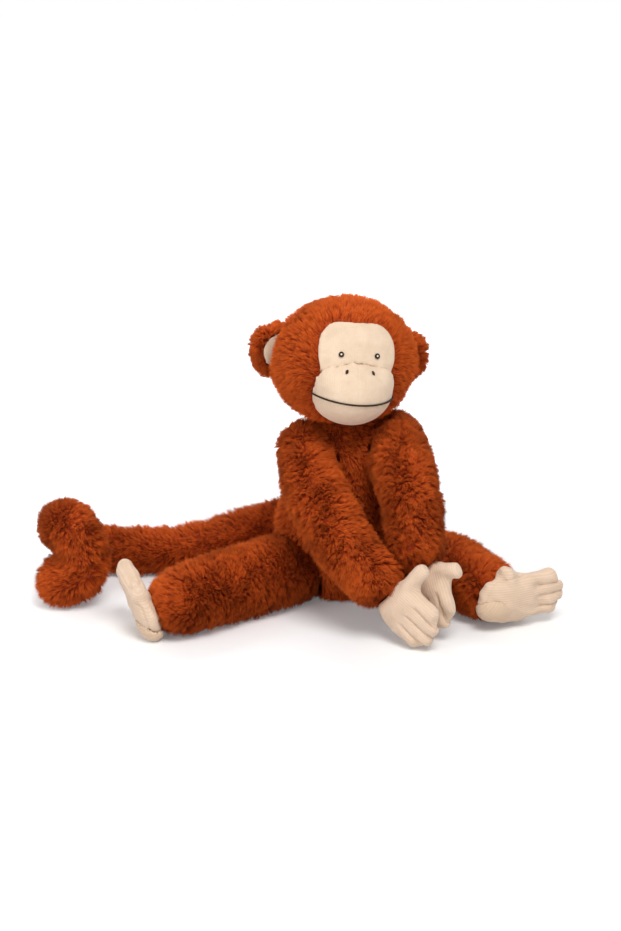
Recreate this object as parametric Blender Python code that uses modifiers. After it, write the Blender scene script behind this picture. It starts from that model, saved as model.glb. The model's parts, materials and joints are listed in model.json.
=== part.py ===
"""Stuffed monkey, seated, with long limbs: one object for each sewn piece.

Metres, +Z up. The monkey faces -Y and sits on the plane Z = 0, and the origin is the centre of its
flat seat. Each limb starts in a ball that seats in a round socket of the torso, and each hand and
foot is dished over the round end of its limb, so a piece can turn about its joint without touching.
"""

import math

import bmesh
import bpy
from mathutils import Matrix, Vector

# Driving dimensions, in metres
CLEARANCE = 0.0003
BALL_CLEARANCE = 0.0007

BODY_YAW = math.radians(20)
TORSO_HEIGHT = 0.190
TORSO_WIDTH = 0.146
TORSO_DEPTH_RATIO = 0.72
SEAT_WIDTH = 0.080
CHEST_WIDTH = 0.118
NECK_WIDTH = 0.054

HEAD_YAW = math.radians(12)
FACE_ROLL = math.radians(6)
HEAD_WIDTH = 0.138
HEAD_DEPTH = 0.120
HEAD_HEIGHT = 0.120
NECK_SEAT_DEPTH = 0.0095
HEAD_OFFSET = Vector((-0.007, -0.003, 0))

FACE_WIDTH = 0.078
FACE_TOP = 0.047
FACE_CORNER = 0.024
FACE_PAD = 0.003
FACE_SIDE_DEPTH = 0.012
MUZZLE_WIDTH = 0.083
MUZZLE_HEIGHT = 0.072
MUZZLE_DEPTH = 0.090
MUZZLE_FORWARD = 0.036
MUZZLE_DROP = 0.017
EYE_SPACING = 0.035
EYE_HEIGHT = 0.020
EYE_WIDTH = 0.0056
EYE_THREAD = 0.0012
NOSTRIL_SPACING = 0.0254
NOSTRIL_HEIGHT = 0.0225
NOSTRIL_WIDTH = 0.0032
NOSTRIL_LENGTH = 0.0052
MOUTH_DROP = 0.006
MOUTH_HALF_ANGLE = math.radians(74)
MOUTH_SMILE = 0.002
MOUTH_THREAD = 0.0018

EAR_REACH = 0.028
EAR_HEIGHT = 0.052
EAR_THICKNESS = 0.018
EAR_LIFT = 0.002
EAR_BACK_ANGLE = math.radians(25)
EAR_TURN = math.radians(25)
LINING_RATIO = 0.74
LINING_DEPTH = 0.006
LINING_OUT = 0.003

ARM_LENGTH = 0.158
SHOULDER_RADIUS = 0.0270
ARM_RADIUS = 0.0275
WRIST_RADIUS = 0.0250
SHOULDER_DROP = 0.036
SHOULDER_SPREAD = 0.045
SHOULDER_FORWARD = 0.002

HAND_LENGTH = 0.074
HAND_WIDTH = 0.052
HAND_THICKNESS = 0.020
HAND_OVERLAP = 0.011
DIGIT_WIDTH_RATIO = 1.45
FINGER_COUNT = 4
FINGER_LENGTH = 0.044
FINGER_STAGGER = 0.006
THUMB_LENGTH = 0.038
THUMB_WIDTH = 0.018
THUMB_SINK = 0.004
THUMB_LEAN = math.radians(88)

LEG_LENGTH = 0.136
HIP_RADIUS = 0.0330
ANKLE_RADIUS = 0.0290
HIP_SPREAD = 0.046
HIP_SHIFT = -0.018
HIP_FORWARD = 0.010

FOOT_LENGTH = 0.094
FOOT_WIDTH = 0.054
FOOT_THICKNESS = 0.024
HEEL_AHEAD = 0.012
TOE_COUNT = 4
TOE_LENGTH = 0.048
TOE_STAGGER = 0.005
BIG_TOE_LENGTH = 0.028
BIG_TOE_WIDTH = 0.022
BIG_TOE_AHEAD = 0.005
BIG_TOE_SINK = 0.008
BIG_TOE_LEAN = math.radians(75)
HEEL_PAD_LENGTH = 0.040
HEEL_PAD_WIDTH = 0.028
HEEL_PAD_BACK = 0.004
HEEL_PAD_RISE = 0.0016

TAIL_LENGTH = 0.448
TAIL_RADIUS = 0.0220
CURL_RADIUS = 0.0240
TAIL_ROOT_HEIGHT = 0.042
TAIL_ROOT_BACK = 0.046

ARM_SWING = math.radians(80)
LEG_SWING = math.radians(70)
TAIL_SWING = math.radians(90)
SOCKET_REACH = 0.075

# Mesh fineness
TUBE_SIDES = 16
END_RINGS = 5
THREAD_SIDES = 8
BALL_SEGMENTS = 24
BALL_RINGS = 14
SMALL_SEGMENTS = 8
SMALL_RINGS = 6
DIGIT_SEGMENTS = 10
DIGIT_RINGS = 7

# Colours of the plush, the velour and the thread
FUR = (0.30, 0.058, 0.012, 1)
VELOUR = (0.78, 0.60, 0.40, 1)
THREAD = (0.030, 0.016, 0.009, 1)


def clear_scene():
    for found in list(bpy.data.objects):
        bpy.data.objects.remove(found, do_unlink=True)


def new_collection(name):
    made = bpy.data.collections.new(name)
    bpy.context.scene.collection.children.link(made)
    return made


def material_for(name, colour, roughness):
    made = bpy.data.materials.new(name)
    made.use_nodes = True
    shader = made.node_tree.nodes["Principled BSDF"]
    shader.inputs["Base Color"].default_value = colour
    shader.inputs["Roughness"].default_value = roughness
    shader.inputs["Metallic"].default_value = 0.0
    return made


clear_scene()
parts = new_collection("stuffed_monkey")
cutters = new_collection("cutters")


def add_piece(name, mesh, colour, roughness=0.9, place=None, parent=None):
    """A named piece of the toy, with its own material, at a place given by a matrix."""
    piece = bpy.data.objects.new(name, mesh)
    mesh.materials.append(material_for(name + "_cloth", colour, roughness))
    mesh.shade_smooth()
    mesh.set_sharp_from_angle(angle=math.radians(50))
    parts.objects.link(piece)
    piece.matrix_local = place or Matrix.Identity(4)
    piece.parent = parent
    return piece


def add_cutter(name, mesh, place=None):
    cutter = bpy.data.objects.new(name, mesh)
    cutters.objects.link(cutter)
    cutter.matrix_world = place or Matrix.Identity(4)
    cutter.hide_render = True
    cutter.display_type = "WIRE"
    return cutter


def combine(piece, other, operation="DIFFERENCE"):
    modifier = piece.modifiers.new(other.name, "BOOLEAN")
    modifier.operation = operation
    modifier.solver = "EXACT"
    modifier.object = other


def mesh_of(name, shape):
    made = bpy.data.meshes.new(name)
    shape.to_mesh(made)
    shape.free()
    return made


def ellipsoid(name, half_sizes, segments=BALL_SEGMENTS, rings=BALL_RINGS):
    """A stuffed ball of cloth with three half sizes, about its own origin."""
    shape = bmesh.new()
    bmesh.ops.create_uvsphere(shape, u_segments=segments, v_segments=rings, radius=1)
    bmesh.ops.scale(shape, vec=Vector(half_sizes), verts=shape.verts)
    return mesh_of(name, shape)


def digit(name, length, width, thickness):
    """A blunt finger or toe along X, about its own origin: a ball drawn out between its two caps."""
    shape = bmesh.new()
    along_x = Matrix.Rotation(math.pi / 2, 4, "Y")
    bmesh.ops.create_uvsphere(
        shape, u_segments=DIGIT_SEGMENTS, v_segments=DIGIT_RINGS, radius=1, matrix=along_x
    )
    for vert in shape.verts:
        draw = math.copysign((length - width) / 2, vert.co.x)
        vert.co = (vert.co.x * width / 2 + draw, vert.co.y * width / 2, vert.co.z * thickness / 2)
    return mesh_of(name, shape)


def swing_hull(name, balls):
    """The room that a round limb sweeps, as the hull of balls given by their centre and radius."""
    shape = bmesh.new()
    for centre, radius in balls:
        bmesh.ops.create_uvsphere(
            shape,
            u_segments=BALL_SEGMENTS,
            v_segments=BALL_RINGS,
            radius=radius,
            matrix=Matrix.Translation(centre),
        )
    bmesh.ops.delete(shape, geom=shape.edges[:], context="EDGES_FACES")
    found = bmesh.ops.convex_hull(shape, input=shape.verts)
    inside = {item for key in ("geom_interior", "geom_unused") for item in found[key]}
    spare = [item for item in inside if isinstance(item, bmesh.types.BMVert)]
    bmesh.ops.delete(shape, geom=spare, context="VERTS")
    bmesh.ops.recalc_face_normals(shape, faces=shape.faces)
    return mesh_of(name, shape)


def smooth_route(points, steps):
    """Points of a Catmull-Rom curve through the given points."""
    ends = [2 * points[0] - points[1], *points, 2 * points[-1] - points[-2]]
    route = []
    for first in range(len(points) - 1):
        a, b, c, d = ends[first : first + 4]
        for step in range(steps):
            t = step / steps
            route.append(
                0.5
                * (
                    2 * b
                    + (c - a) * t
                    + (2 * a - 5 * b + 4 * c - d) * t**2
                    + (3 * b - a - 3 * c + d) * t**3
                )
            )
    route.append(points[-1].copy())
    return route


def route_length(points):
    return sum((b - a).length for a, b in zip(points, points[1:]))


def scaled_route(offsets, length):
    """A route through the offsets, from the pivot, stretched to the given length."""
    points = [Vector((0, 0, 0))] + [Vector(offset) for offset in offsets]
    share = length / route_length(smooth_route(points, 8))
    return [point * share for point in points]


def swelling(route, start_radius, middle_radius, end_radius):
    """The radius at each point of a route that swells from one end and tapers to the other."""
    total = route_length(route)
    run = 0.0
    radii = []
    for here, point in enumerate(route):
        if here:
            run += (point - route[here - 1]).length
        share = run / total
        end = start_radius if share < 0.5 else end_radius
        radii.append(end + (middle_radius - end) * math.sin(math.pi * share) ** 2)
    return radii


def stuffed_tube(name, points, radii, steps=4, sides=TUBE_SIDES):
    """A round-ended tube of cloth along the points, made from a bevelled curve."""
    route = smooth_route(points, steps)
    swell = swelling(route, *radii)
    start_radius, _, end_radius = radii
    ahead = (route[1] - route[0]).normalized()
    onward = (route[-1] - route[-2]).normalized()
    angles = [0.5 * math.pi * turn / END_RINGS for turn in range(1, END_RINGS)]
    first = [
        (route[0] - ahead * start_radius * math.cos(angle), start_radius * math.sin(angle))
        for angle in angles
    ]
    last = [
        (route[-1] + onward * end_radius * math.cos(angle), end_radius * math.sin(angle))
        for angle in reversed(angles)
    ]
    rings = first + list(zip(route, swell)) + last

    curve = bpy.data.curves.new(name, "CURVE")
    curve.dimensions = "3D"
    curve.bevel_depth = 1.0
    curve.bevel_resolution = sides // 2 - 2
    curve.use_fill_caps = True
    spline = curve.splines.new("POLY")
    spline.points.add(len(rings) - 1)
    for slot, (point, radius) in zip(spline.points, rings):
        slot.co = (*point, 1)
        slot.radius = radius
    holder = bpy.data.objects.new(name, curve)
    bpy.context.scene.collection.objects.link(holder)
    graph = bpy.context.evaluated_depsgraph_get()
    mesh = bpy.data.meshes.new_from_object(holder.evaluated_get(graph))
    bpy.data.objects.remove(holder)
    shape = bmesh.new()
    shape.from_mesh(mesh)
    bmesh.ops.remove_doubles(shape, verts=shape.verts, dist=1e-5)
    bmesh.ops.recalc_face_normals(shape, faces=shape.faces)
    shape.to_mesh(mesh)
    shape.free()
    return mesh


def axes_place(origin, ahead, up):
    """A matrix at origin whose X runs ahead and whose Z is as near to up as it can be."""
    x = Vector(ahead).normalized()
    y = Vector(up).cross(x).normalized()
    z = x.cross(y)
    turn = Matrix((x, y, z)).transposed().to_4x4()
    return Matrix.Translation(origin) @ turn


def on_body(spread, forward, height):
    """A point of the torso, given in its own turned axes."""
    return Matrix.Rotation(BODY_YAW, 4, "Z") @ Vector((spread, -forward, height))


# The torso is a pear turned about Z, flat under the seat and on top of the neck
def torso_profile():
    widest = TORSO_WIDTH / 2
    seat = SEAT_WIDTH / 2
    neck = NECK_WIDTH / 2
    chest = CHEST_WIDTH / 2
    corners = [
        (neck, TORSO_HEIGHT),
        (0.75 * neck + 0.25 * chest, 0.94 * TORSO_HEIGHT),
        (0.10 * neck + 0.90 * chest, 0.82 * TORSO_HEIGHT),
        (chest, 0.68 * TORSO_HEIGHT),
        (0.25 * chest + 0.75 * widest, 0.47 * TORSO_HEIGHT),
        (widest, 0.28 * TORSO_HEIGHT),
        (0.18 * seat + 0.82 * widest, 0.14 * TORSO_HEIGHT),
        (0.5 * (seat + widest), 0.035 * TORSO_HEIGHT),
        (seat, 0),
    ]
    curve = smooth_route([Vector((radius, 0, height)) for radius, height in corners], 2)
    outline = [Vector((0, 0, TORSO_HEIGHT)), *curve, Vector((0, 0, 0))]
    for point in outline:
        point.z = min(max(point.z, 0), TORSO_HEIGHT)
    return outline


def build_torso():
    outline = torso_profile()
    mesh = bpy.data.meshes.new("torso")
    mesh.from_pydata(outline, [(i, i + 1) for i in range(len(outline) - 1)], [])
    place = Matrix.Rotation(BODY_YAW, 4, "Z") @ Matrix.Diagonal((1, TORSO_DEPTH_RATIO, 1, 1))
    torso = add_piece("torso", mesh, FUR, place=place)
    screw = torso.modifiers.new("turned", "SCREW")
    screw.steps = 32
    screw.render_steps = 32
    screw.use_merge_vertices = True
    screw.merge_threshold = 0.0001
    return torso


torso = build_torso()


# Limb routes, in world axes from each pivot, how far the filling is pulled out or bunched up in
# them, the axis an arm rises about, and the way that hands and feet point
LIMBS = {
    "right": {
        "side": -1,
        "slack": 1.02,
        "arm": [(0.0065, -0.0387, -0.0270), (0.0333, -0.0857, -0.0667), (0.0636, -0.1077, -0.0950)],
        "leg": [(-0.0570, -0.0460, 0.0006), (-0.1132, -0.0949, 0.0014)],
        "arm_axis": (-0.684, -0.075, -0.726),
        "fingers": (0.66, -0.52, -0.54),
        "palm": (0.40, 0.88, -0.05),
        "toes": (-0.42, 0.81, 0.41),
        "sole": (-0.90, -0.28, -0.33),
    },
    "left": {
        "side": 1,
        "slack": 0.98,
        "arm": [(0.0050, -0.0515, -0.0020), (0.0130, -0.0975, -0.0230), (0.0190, -0.1195, -0.0640)],
        "leg": [(0.0620, -0.0240, 0), (0.1010, -0.0770, -0.0027)],
        "arm_axis": (-0.684, 0.075, 0.726),
        "fingers": (0.26, -0.36, -0.895),
        "palm": (-0.50, -0.85, 0.10),
        "toes": (0.93, 0.36, 0.03),
        "sole": (0.361, -0.932, 0.0),
    },
}


def seat_limb(name, pivot, points, radii, axis, swing):
    """Cuts the torso's round socket, and the room in which the limb leaves it and swings."""
    route = smooth_route(points, 4)
    turns = [Matrix.Rotation(share * swing, 3, axis) for share in (0, 0.5, 1)]
    balls = []
    for point, radius in zip(route, swelling(route, *radii)):
        if point.length < SOCKET_REACH:
            balls += [(pivot + turn @ point, radius + BALL_CLEARANCE) for turn in turns]
    combine(torso, add_cutter(name, swing_hull(name, balls)))


def build_hand(side, limb, wrist):
    """A flat stuffed mitt with four fingers and a thumb, dished over the round wrist."""
    place = axes_place(wrist, limb["fingers"], limb["palm"])
    name = "hand_" + side
    thumb_side = 1 if (place.to_3x3() @ Vector((0, 1, 0))).z > 0 else -1
    thick = HAND_THICKNESS / 2
    palm_length = HAND_LENGTH - FINGER_LENGTH / 2
    palm = ellipsoid(name, (palm_length / 2, HAND_WIDTH / 2, thick), 16, 10)
    start = WRIST_RADIUS - HAND_OVERLAP
    palm.transform(Matrix.Translation((start + palm_length / 2, 0, 0)))
    hand = add_piece(name, palm, VELOUR, place=place)
    tip = start + HAND_LENGTH
    pitch = 0.86 * HAND_WIDTH / FINGER_COUNT
    for finger in range(FINGER_COUNT):
        across = (finger - (FINGER_COUNT - 1) / 2) * pitch
        drop = FINGER_STAGGER * abs(finger - (FINGER_COUNT - 1) / 2) ** 1.5
        mesh = digit("finger", FINGER_LENGTH, DIGIT_WIDTH_RATIO * pitch, 0.76 * HAND_THICKNESS)
        mesh.transform(Matrix.Translation((tip - FINGER_LENGTH / 2 - drop, across, 0)))
        combine(hand, add_cutter(f"{name}_finger_{finger}", mesh, place), "UNION")
    mesh = digit("thumb", THUMB_LENGTH, THUMB_WIDTH, 0.80 * HAND_THICKNESS)
    lean = Matrix.Rotation(thumb_side * THUMB_LEAN, 4, "Z")
    root = Vector((start + 0.36 * palm_length, thumb_side * 0.30 * HAND_WIDTH, 0))
    sink = Matrix.Translation((THUMB_LENGTH / 2 - THUMB_SINK, 0, 0))
    mesh.transform(Matrix.Translation(root) @ lean @ sink)
    combine(hand, add_cutter(name + "_thumb", mesh, place), "UNION")
    socket = ellipsoid("wrist", [WRIST_RADIUS + BALL_CLEARANCE] * 3)
    combine(hand, add_cutter(name + "_socket", socket, Matrix.Translation(wrist)))


def build_foot(side, limb, ankle):
    """A flat stuffed foot with four toes and a big toe, dished over the round ankle."""
    place = axes_place(ankle, limb["toes"], limb["sole"])
    name = "foot_" + side
    up_side = 1 if (place.to_3x3() @ Vector((0, 1, 0))).z > 0 else -1
    thick = FOOT_THICKNESS / 2
    heel_length = FOOT_LENGTH - TOE_LENGTH / 2
    heel_half = Vector((heel_length / 2, FOOT_WIDTH / 2, thick))
    middle = ANKLE_RADIUS + 0.4 * thick
    heel_at = Matrix.Translation((HEEL_AHEAD, 0, middle))
    heel = ellipsoid(name, heel_half, 16, 10)
    heel.transform(heel_at)
    foot = add_piece(name, heel, VELOUR, place=place)
    tip = HEEL_AHEAD - heel_length / 2 + FOOT_LENGTH
    pitch = 0.80 * FOOT_WIDTH / TOE_COUNT
    for toe in range(TOE_COUNT):
        across = (toe - (TOE_COUNT - 1) / 2) * pitch
        drop = TOE_STAGGER * abs(toe - (TOE_COUNT - 1) / 2) ** 1.5
        mesh = digit("toe", TOE_LENGTH, DIGIT_WIDTH_RATIO * pitch, 0.76 * FOOT_THICKNESS)
        mesh.transform(Matrix.Translation((tip - TOE_LENGTH / 2 - drop, across, middle)))
        combine(foot, add_cutter(f"{name}_toe_{toe}", mesh, place), "UNION")
    mesh = digit("big_toe", BIG_TOE_LENGTH, BIG_TOE_WIDTH, 0.80 * FOOT_THICKNESS)
    lean = Matrix.Rotation(up_side * BIG_TOE_LEAN, 4, "Z")
    root = Vector((BIG_TOE_AHEAD, up_side * 0.26 * FOOT_WIDTH, middle))
    sink = Matrix.Translation((BIG_TOE_LENGTH / 2 - BIG_TOE_SINK, 0, 0))
    mesh.transform(Matrix.Translation(root) @ lean @ sink)
    combine(foot, add_cutter(name + "_big_toe", mesh, place), "UNION")
    socket = ellipsoid("ankle", [ANKLE_RADIUS + BALL_CLEARANCE] * 3)
    combine(foot, add_cutter(name + "_socket", socket, Matrix.Translation(ankle)))

    # The heel pad lies on the sole, cut to the heel's crown
    pad_half = (HEEL_PAD_LENGTH / 2, HEEL_PAD_WIDTH / 2, thick)
    pad_at = Matrix.Translation((-HEEL_PAD_BACK, -up_side * 0.12 * FOOT_WIDTH, middle + HEEL_PAD_RISE))
    pad = ellipsoid("heel_pad_" + side, pad_half, 16, 10)
    pad.transform(pad_at)
    piece = add_piece("heel_pad_" + side, pad, VELOUR, place=place)
    crown = ellipsoid("crown", heel_half + Vector([CLEARANCE] * 3), 16, 10)
    crown.transform(heel_at)
    combine(piece, add_cutter("heel_pad_bed_" + side, crown, place))
    behind = ellipsoid("behind", (FOOT_LENGTH, FOOT_LENGTH, FOOT_LENGTH), 16, 8)
    behind.transform(Matrix.Translation((0, 0, middle - FOOT_LENGTH)))
    combine(piece, add_cutter("heel_pad_back_" + side, behind, place))


def build_limbs():
    for side, limb in LIMBS.items():
        shoulder = on_body(limb["side"] * SHOULDER_SPREAD, SHOULDER_FORWARD, TORSO_HEIGHT - SHOULDER_DROP)
        route = scaled_route(limb["arm"], limb["slack"] * ARM_LENGTH)
        radii = (SHOULDER_RADIUS, ARM_RADIUS, WRIST_RADIUS)
        mesh = stuffed_tube("arm_" + side, route, radii)
        add_piece("arm_" + side, mesh, FUR, place=Matrix.Translation(shoulder))
        axis = Vector(limb["arm_axis"]).normalized()
        seat_limb("shoulder_" + side, shoulder, route, radii, axis, ARM_SWING)
        build_hand(side, limb, shoulder + route[-1])

        hip = on_body(limb["side"] * HIP_SPREAD + HIP_SHIFT, HIP_FORWARD, HIP_RADIUS)
        route = scaled_route(limb["leg"], limb["slack"] * LEG_LENGTH)
        radii = (HIP_RADIUS, HIP_RADIUS, ANKLE_RADIUS)
        mesh = stuffed_tube("leg_" + side, route, radii)
        add_piece("leg_" + side, mesh, FUR, place=Matrix.Translation(hip))
        axis = Vector((-route[-1].y, route[-1].x, 0)).normalized()
        seat_limb("hip_" + side, hip, route, radii, axis, LEG_SWING)
        build_foot(side, limb, hip + route[-1])


build_limbs()


# The tail leaves the back of the seat, lies along the ground and ends in a standing curl
TAIL_ROUTE = [
    (-0.034, 0.068, 0.043),
    (-0.069, 0.073, 0.044),
    (-0.104, 0.065, 0.037),
    (-0.139, 0.055, 0.028),
    (-0.176, 0.048, 0.023),
    (-0.210, 0.047, 0.0225),
    (-0.242, 0.047, 0.023),
    (-0.268, 0.037, 0.033),
    (-0.284, 0.010, 0.056),
    (-0.285, -0.018, 0.074),
    (-0.280, -0.038, 0.081),
    (-0.269, -0.046, 0.075),
    (-0.263, -0.047, 0.054),
    (-0.269, -0.046, 0.033),
    (-0.285, -0.045, 0.025),
]


def build_tail():
    root = on_body(0, -TAIL_ROOT_BACK, TAIL_ROOT_HEIGHT)
    route = scaled_route([Vector(point) - root for point in TAIL_ROUTE], TAIL_LENGTH)
    radii = (TAIL_RADIUS, TAIL_RADIUS, CURL_RADIUS)
    add_piece("tail", stuffed_tube("tail", route, radii, 2), FUR, place=Matrix.Translation(root))
    seat_limb("tail_root", root, route, radii, Vector((0, 0, -1)), TAIL_SWING)


build_tail()


# The head rests on the flat neck, and its pieces are placed in its own turned axes
HEAD_CENTRE = Vector((0, 0, HEAD_HEIGHT / 2 - NECK_SEAT_DEPTH)) + HEAD_OFFSET
HEAD_HALF = Vector((HEAD_WIDTH, HEAD_DEPTH, HEAD_HEIGHT)) / 2
MUZZLE_HALF = Vector((MUZZLE_WIDTH, MUZZLE_DEPTH, MUZZLE_HEIGHT)) / 2
ROLL = Matrix.Rotation(FACE_ROLL, 4, "Y")
NECK_SEAT = Matrix.Translation((0, 0, TORSO_HEIGHT + CLEARANCE)) @ Matrix.Rotation(HEAD_YAW, 4, "Z")
FACE_PLACE = Matrix.Translation(HEAD_CENTRE) @ ROLL
MUZZLE_CENTRE = Vector((0, -MUZZLE_FORWARD, -MUZZLE_DROP))


def surface_point(half, across, up, lift=0.0):
    """A point in front on an ellipsoid about the origin, lifted along its normal, and that normal."""
    depth = half.y * math.sqrt(1 - (across / half.x) ** 2 - (up / half.z) ** 2)
    point = Vector((across, -depth, up))
    normal = Vector((point.x / half.x**2, point.y / half.y**2, point.z / half.z**2)).normalized()
    return point + normal * lift, normal


def facing(point, normal):
    """A matrix at a point whose Z is the normal and whose Y is as near upright as it can be."""
    x = Vector((0, 0, 1)).cross(normal).normalized()
    y = normal.cross(x)
    return Matrix.Translation(point) @ Matrix((x, y, normal)).transposed().to_4x4()


def build_head():
    mesh = ellipsoid("head", HEAD_HALF, 32, 20)
    mesh.transform(Matrix.Translation(HEAD_CENTRE))
    head = add_piece("head", mesh, FUR, place=NECK_SEAT)
    shape = bmesh.new()
    bmesh.ops.create_cube(shape, size=2 * HEAD_WIDTH)
    bmesh.ops.translate(shape, vec=(0, 0, -HEAD_WIDTH), verts=shape.verts)
    combine(head, add_cutter("neck_plane", mesh_of("neck_plane", shape), NECK_SEAT))
    return head


head = build_head()


def build_muzzle():
    mesh = ellipsoid("muzzle", MUZZLE_HALF, 28, 18)
    mesh.transform(Matrix.Translation(MUZZLE_CENTRE))
    muzzle = add_piece("muzzle", mesh, VELOUR, place=FACE_PLACE, parent=head)
    inner = ellipsoid("muzzle_bed", HEAD_HALF + Vector([CLEARANCE] * 3), 32, 20)
    inner.transform(Matrix.Translation(HEAD_CENTRE))
    combine(muzzle, add_cutter("muzzle_bed", inner, NECK_SEAT))


def build_face():
    """The upper face: a thin padded panel over the front of the head, down to the muzzle's seam."""
    outer = ellipsoid("face_panel", HEAD_HALF + Vector([FACE_PAD] * 3), 32, 20)
    outer.transform(ROLL.inverted())
    face = add_piece("face_panel", outer, VELOUR, place=FACE_PLACE, parent=head)

    outline = bmesh.new()
    bmesh.ops.create_cube(outline, size=1)
    tall = FACE_TOP + MUZZLE_DROP
    bmesh.ops.scale(outline, vec=(FACE_WIDTH, HEAD_DEPTH, tall), verts=outline.verts)
    middle = Vector((0, -HEAD_DEPTH / 2 - FACE_SIDE_DEPTH, FACE_TOP - tall / 2))
    bmesh.ops.translate(outline, vec=middle, verts=outline.verts)
    upright = [
        edge
        for edge in outline.edges
        if abs(edge.verts[0].co.y - edge.verts[1].co.y) > 0.5 * HEAD_DEPTH and edge.verts[0].co.z > 0
    ]
    bmesh.ops.bevel(
        outline, geom=upright, offset=FACE_CORNER, segments=6, profile=0.5, affect="EDGES", material=-1
    )
    world = NECK_SEAT @ FACE_PLACE
    combine(face, add_cutter("face_outline", mesh_of("face_outline", outline), world), "INTERSECT")
    inner = ellipsoid("face_bed", HEAD_HALF + Vector([CLEARANCE] * 3), 32, 20)
    inner.transform(Matrix.Translation(HEAD_CENTRE))
    combine(face, add_cutter("face_bed", inner, NECK_SEAT))
    seam = ellipsoid("muzzle_seam", MUZZLE_HALF + Vector([CLEARANCE] * 3), 28, 18)
    seam.transform(Matrix.Translation(MUZZLE_CENTRE))
    combine(face, add_cutter("muzzle_seam", seam, world))


def build_eyes_and_nostrils():
    pad = HEAD_HALF + Vector([FACE_PAD] * 3)
    for side, sign in (("right", -1), ("left", 1)):
        point, normal = surface_point(pad, sign * EYE_SPACING / 2, EYE_HEIGHT, CLEARANCE + EYE_THREAD / 2)
        shape = bmesh.new()
        ring = bmesh.ops.create_circle(shape, segments=6, radius=EYE_THREAD / 2)["verts"]
        turn = Matrix.Translation(((EYE_WIDTH - EYE_THREAD) / 2, 0, 0)) @ Matrix.Rotation(math.pi / 2, 4, "X")
        bmesh.ops.transform(shape, matrix=turn, verts=ring)
        bmesh.ops.spin(
            shape, geom=shape.edges[:], axis=(0, 0, 1), cent=(0, 0, 0),
            angle=2 * math.pi, steps=12, use_merge=True,
        )
        bmesh.ops.remove_doubles(shape, verts=shape.verts, dist=1e-6)
        bmesh.ops.recalc_face_normals(shape, faces=shape.faces)
        mesh = mesh_of("eye_" + side, shape)
        add_piece("eye_" + side, mesh, THREAD, 0.6, FACE_PLACE @ facing(point, normal), head)

        half = Vector((NOSTRIL_WIDTH, NOSTRIL_LENGTH, EYE_THREAD)) / 2
        point, normal = surface_point(
            MUZZLE_HALF, sign * NOSTRIL_SPACING / 2, NOSTRIL_HEIGHT, CLEARANCE + EYE_THREAD / 2
        )
        mesh = ellipsoid("nostril_" + side, half, SMALL_SEGMENTS, SMALL_RINGS)
        at = FACE_PLACE @ Matrix.Translation(MUZZLE_CENTRE) @ facing(point, normal)
        add_piece("nostril_" + side, mesh, THREAD, 0.6, at, head)


def build_mouth():
    """The mouth's thread, laid on the muzzle from cheek to cheek."""
    points = []
    count = 18
    reach = MUZZLE_HALF.x * math.sqrt(1 - (MOUTH_DROP / MUZZLE_HALF.z) ** 2) * math.sin(MOUTH_HALF_ANGLE)
    for step in range(count + 1):
        turn = -MOUTH_HALF_ANGLE + 2 * MOUTH_HALF_ANGLE * step / count
        across = reach * math.sin(turn) / math.sin(MOUTH_HALF_ANGLE)
        up = -MOUTH_DROP + MOUTH_SMILE * math.sin(turn) ** 2
        points.append(surface_point(MUZZLE_HALF, across, up, CLEARANCE + MOUTH_THREAD / 2)[0])
    mesh = stuffed_tube("mouth_thread", points, [MOUTH_THREAD / 2] * 3, 1, THREAD_SIDES)
    add_piece("mouth_thread", mesh, THREAD, 0.6, FACE_PLACE @ Matrix.Translation(MUZZLE_CENTRE), head)


def build_ears():
    for side, sign in (("right", -1), ("left", 1)):
        half = Vector((EAR_REACH, EAR_THICKNESS / 2, EAR_HEIGHT / 2))
        turn = Matrix.Rotation(sign * -EAR_TURN, 4, "Z")
        out = sign * HEAD_HALF.x * math.cos(EAR_BACK_ANGLE)
        root = Vector((out, HEAD_HALF.y * math.sin(EAR_BACK_ANGLE), EAR_LIFT))
        at = FACE_PLACE @ Matrix.Translation(root) @ turn
        world = NECK_SEAT @ at
        ear = add_piece("ear_" + side, ellipsoid("ear", half, 20, 14), FUR, place=at, parent=head)
        bed = ellipsoid("ear_bed", HEAD_HALF + Vector([CLEARANCE] * 3), 32, 20)
        bed.transform(Matrix.Translation(HEAD_CENTRE))
        bed = add_cutter("ear_bed_" + side, bed, NECK_SEAT)
        combine(ear, bed)
        dish = Vector((half.x * LINING_RATIO, LINING_DEPTH, half.z * LINING_RATIO))
        front = Matrix.Translation((sign * LINING_OUT, -half.y, 0))
        hollow = ellipsoid("dish", dish + Vector([CLEARANCE] * 3), 20, 12)
        hollow.transform(front)
        combine(ear, add_cutter("ear_dish_" + side, hollow, world))
        lining = ellipsoid("lining", dish, 20, 12)
        lining.transform(front)
        piece = add_piece("ear_lining_" + side, lining, VELOUR, place=at, parent=head)
        shell = add_cutter("ear_shell_" + side, ellipsoid("ear_shell", half, 20, 14), world)
        combine(piece, shell, "INTERSECT")
        combine(piece, bed)


build_muzzle()
build_face()
build_eyes_and_nostrils()
build_mouth()
build_ears()
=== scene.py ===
import json
import math

import bmesh
import bpy
import numpy as np
from mathutils import Matrix, Vector, kdtree
from mathutils.bvhtree import BVHTree


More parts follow.
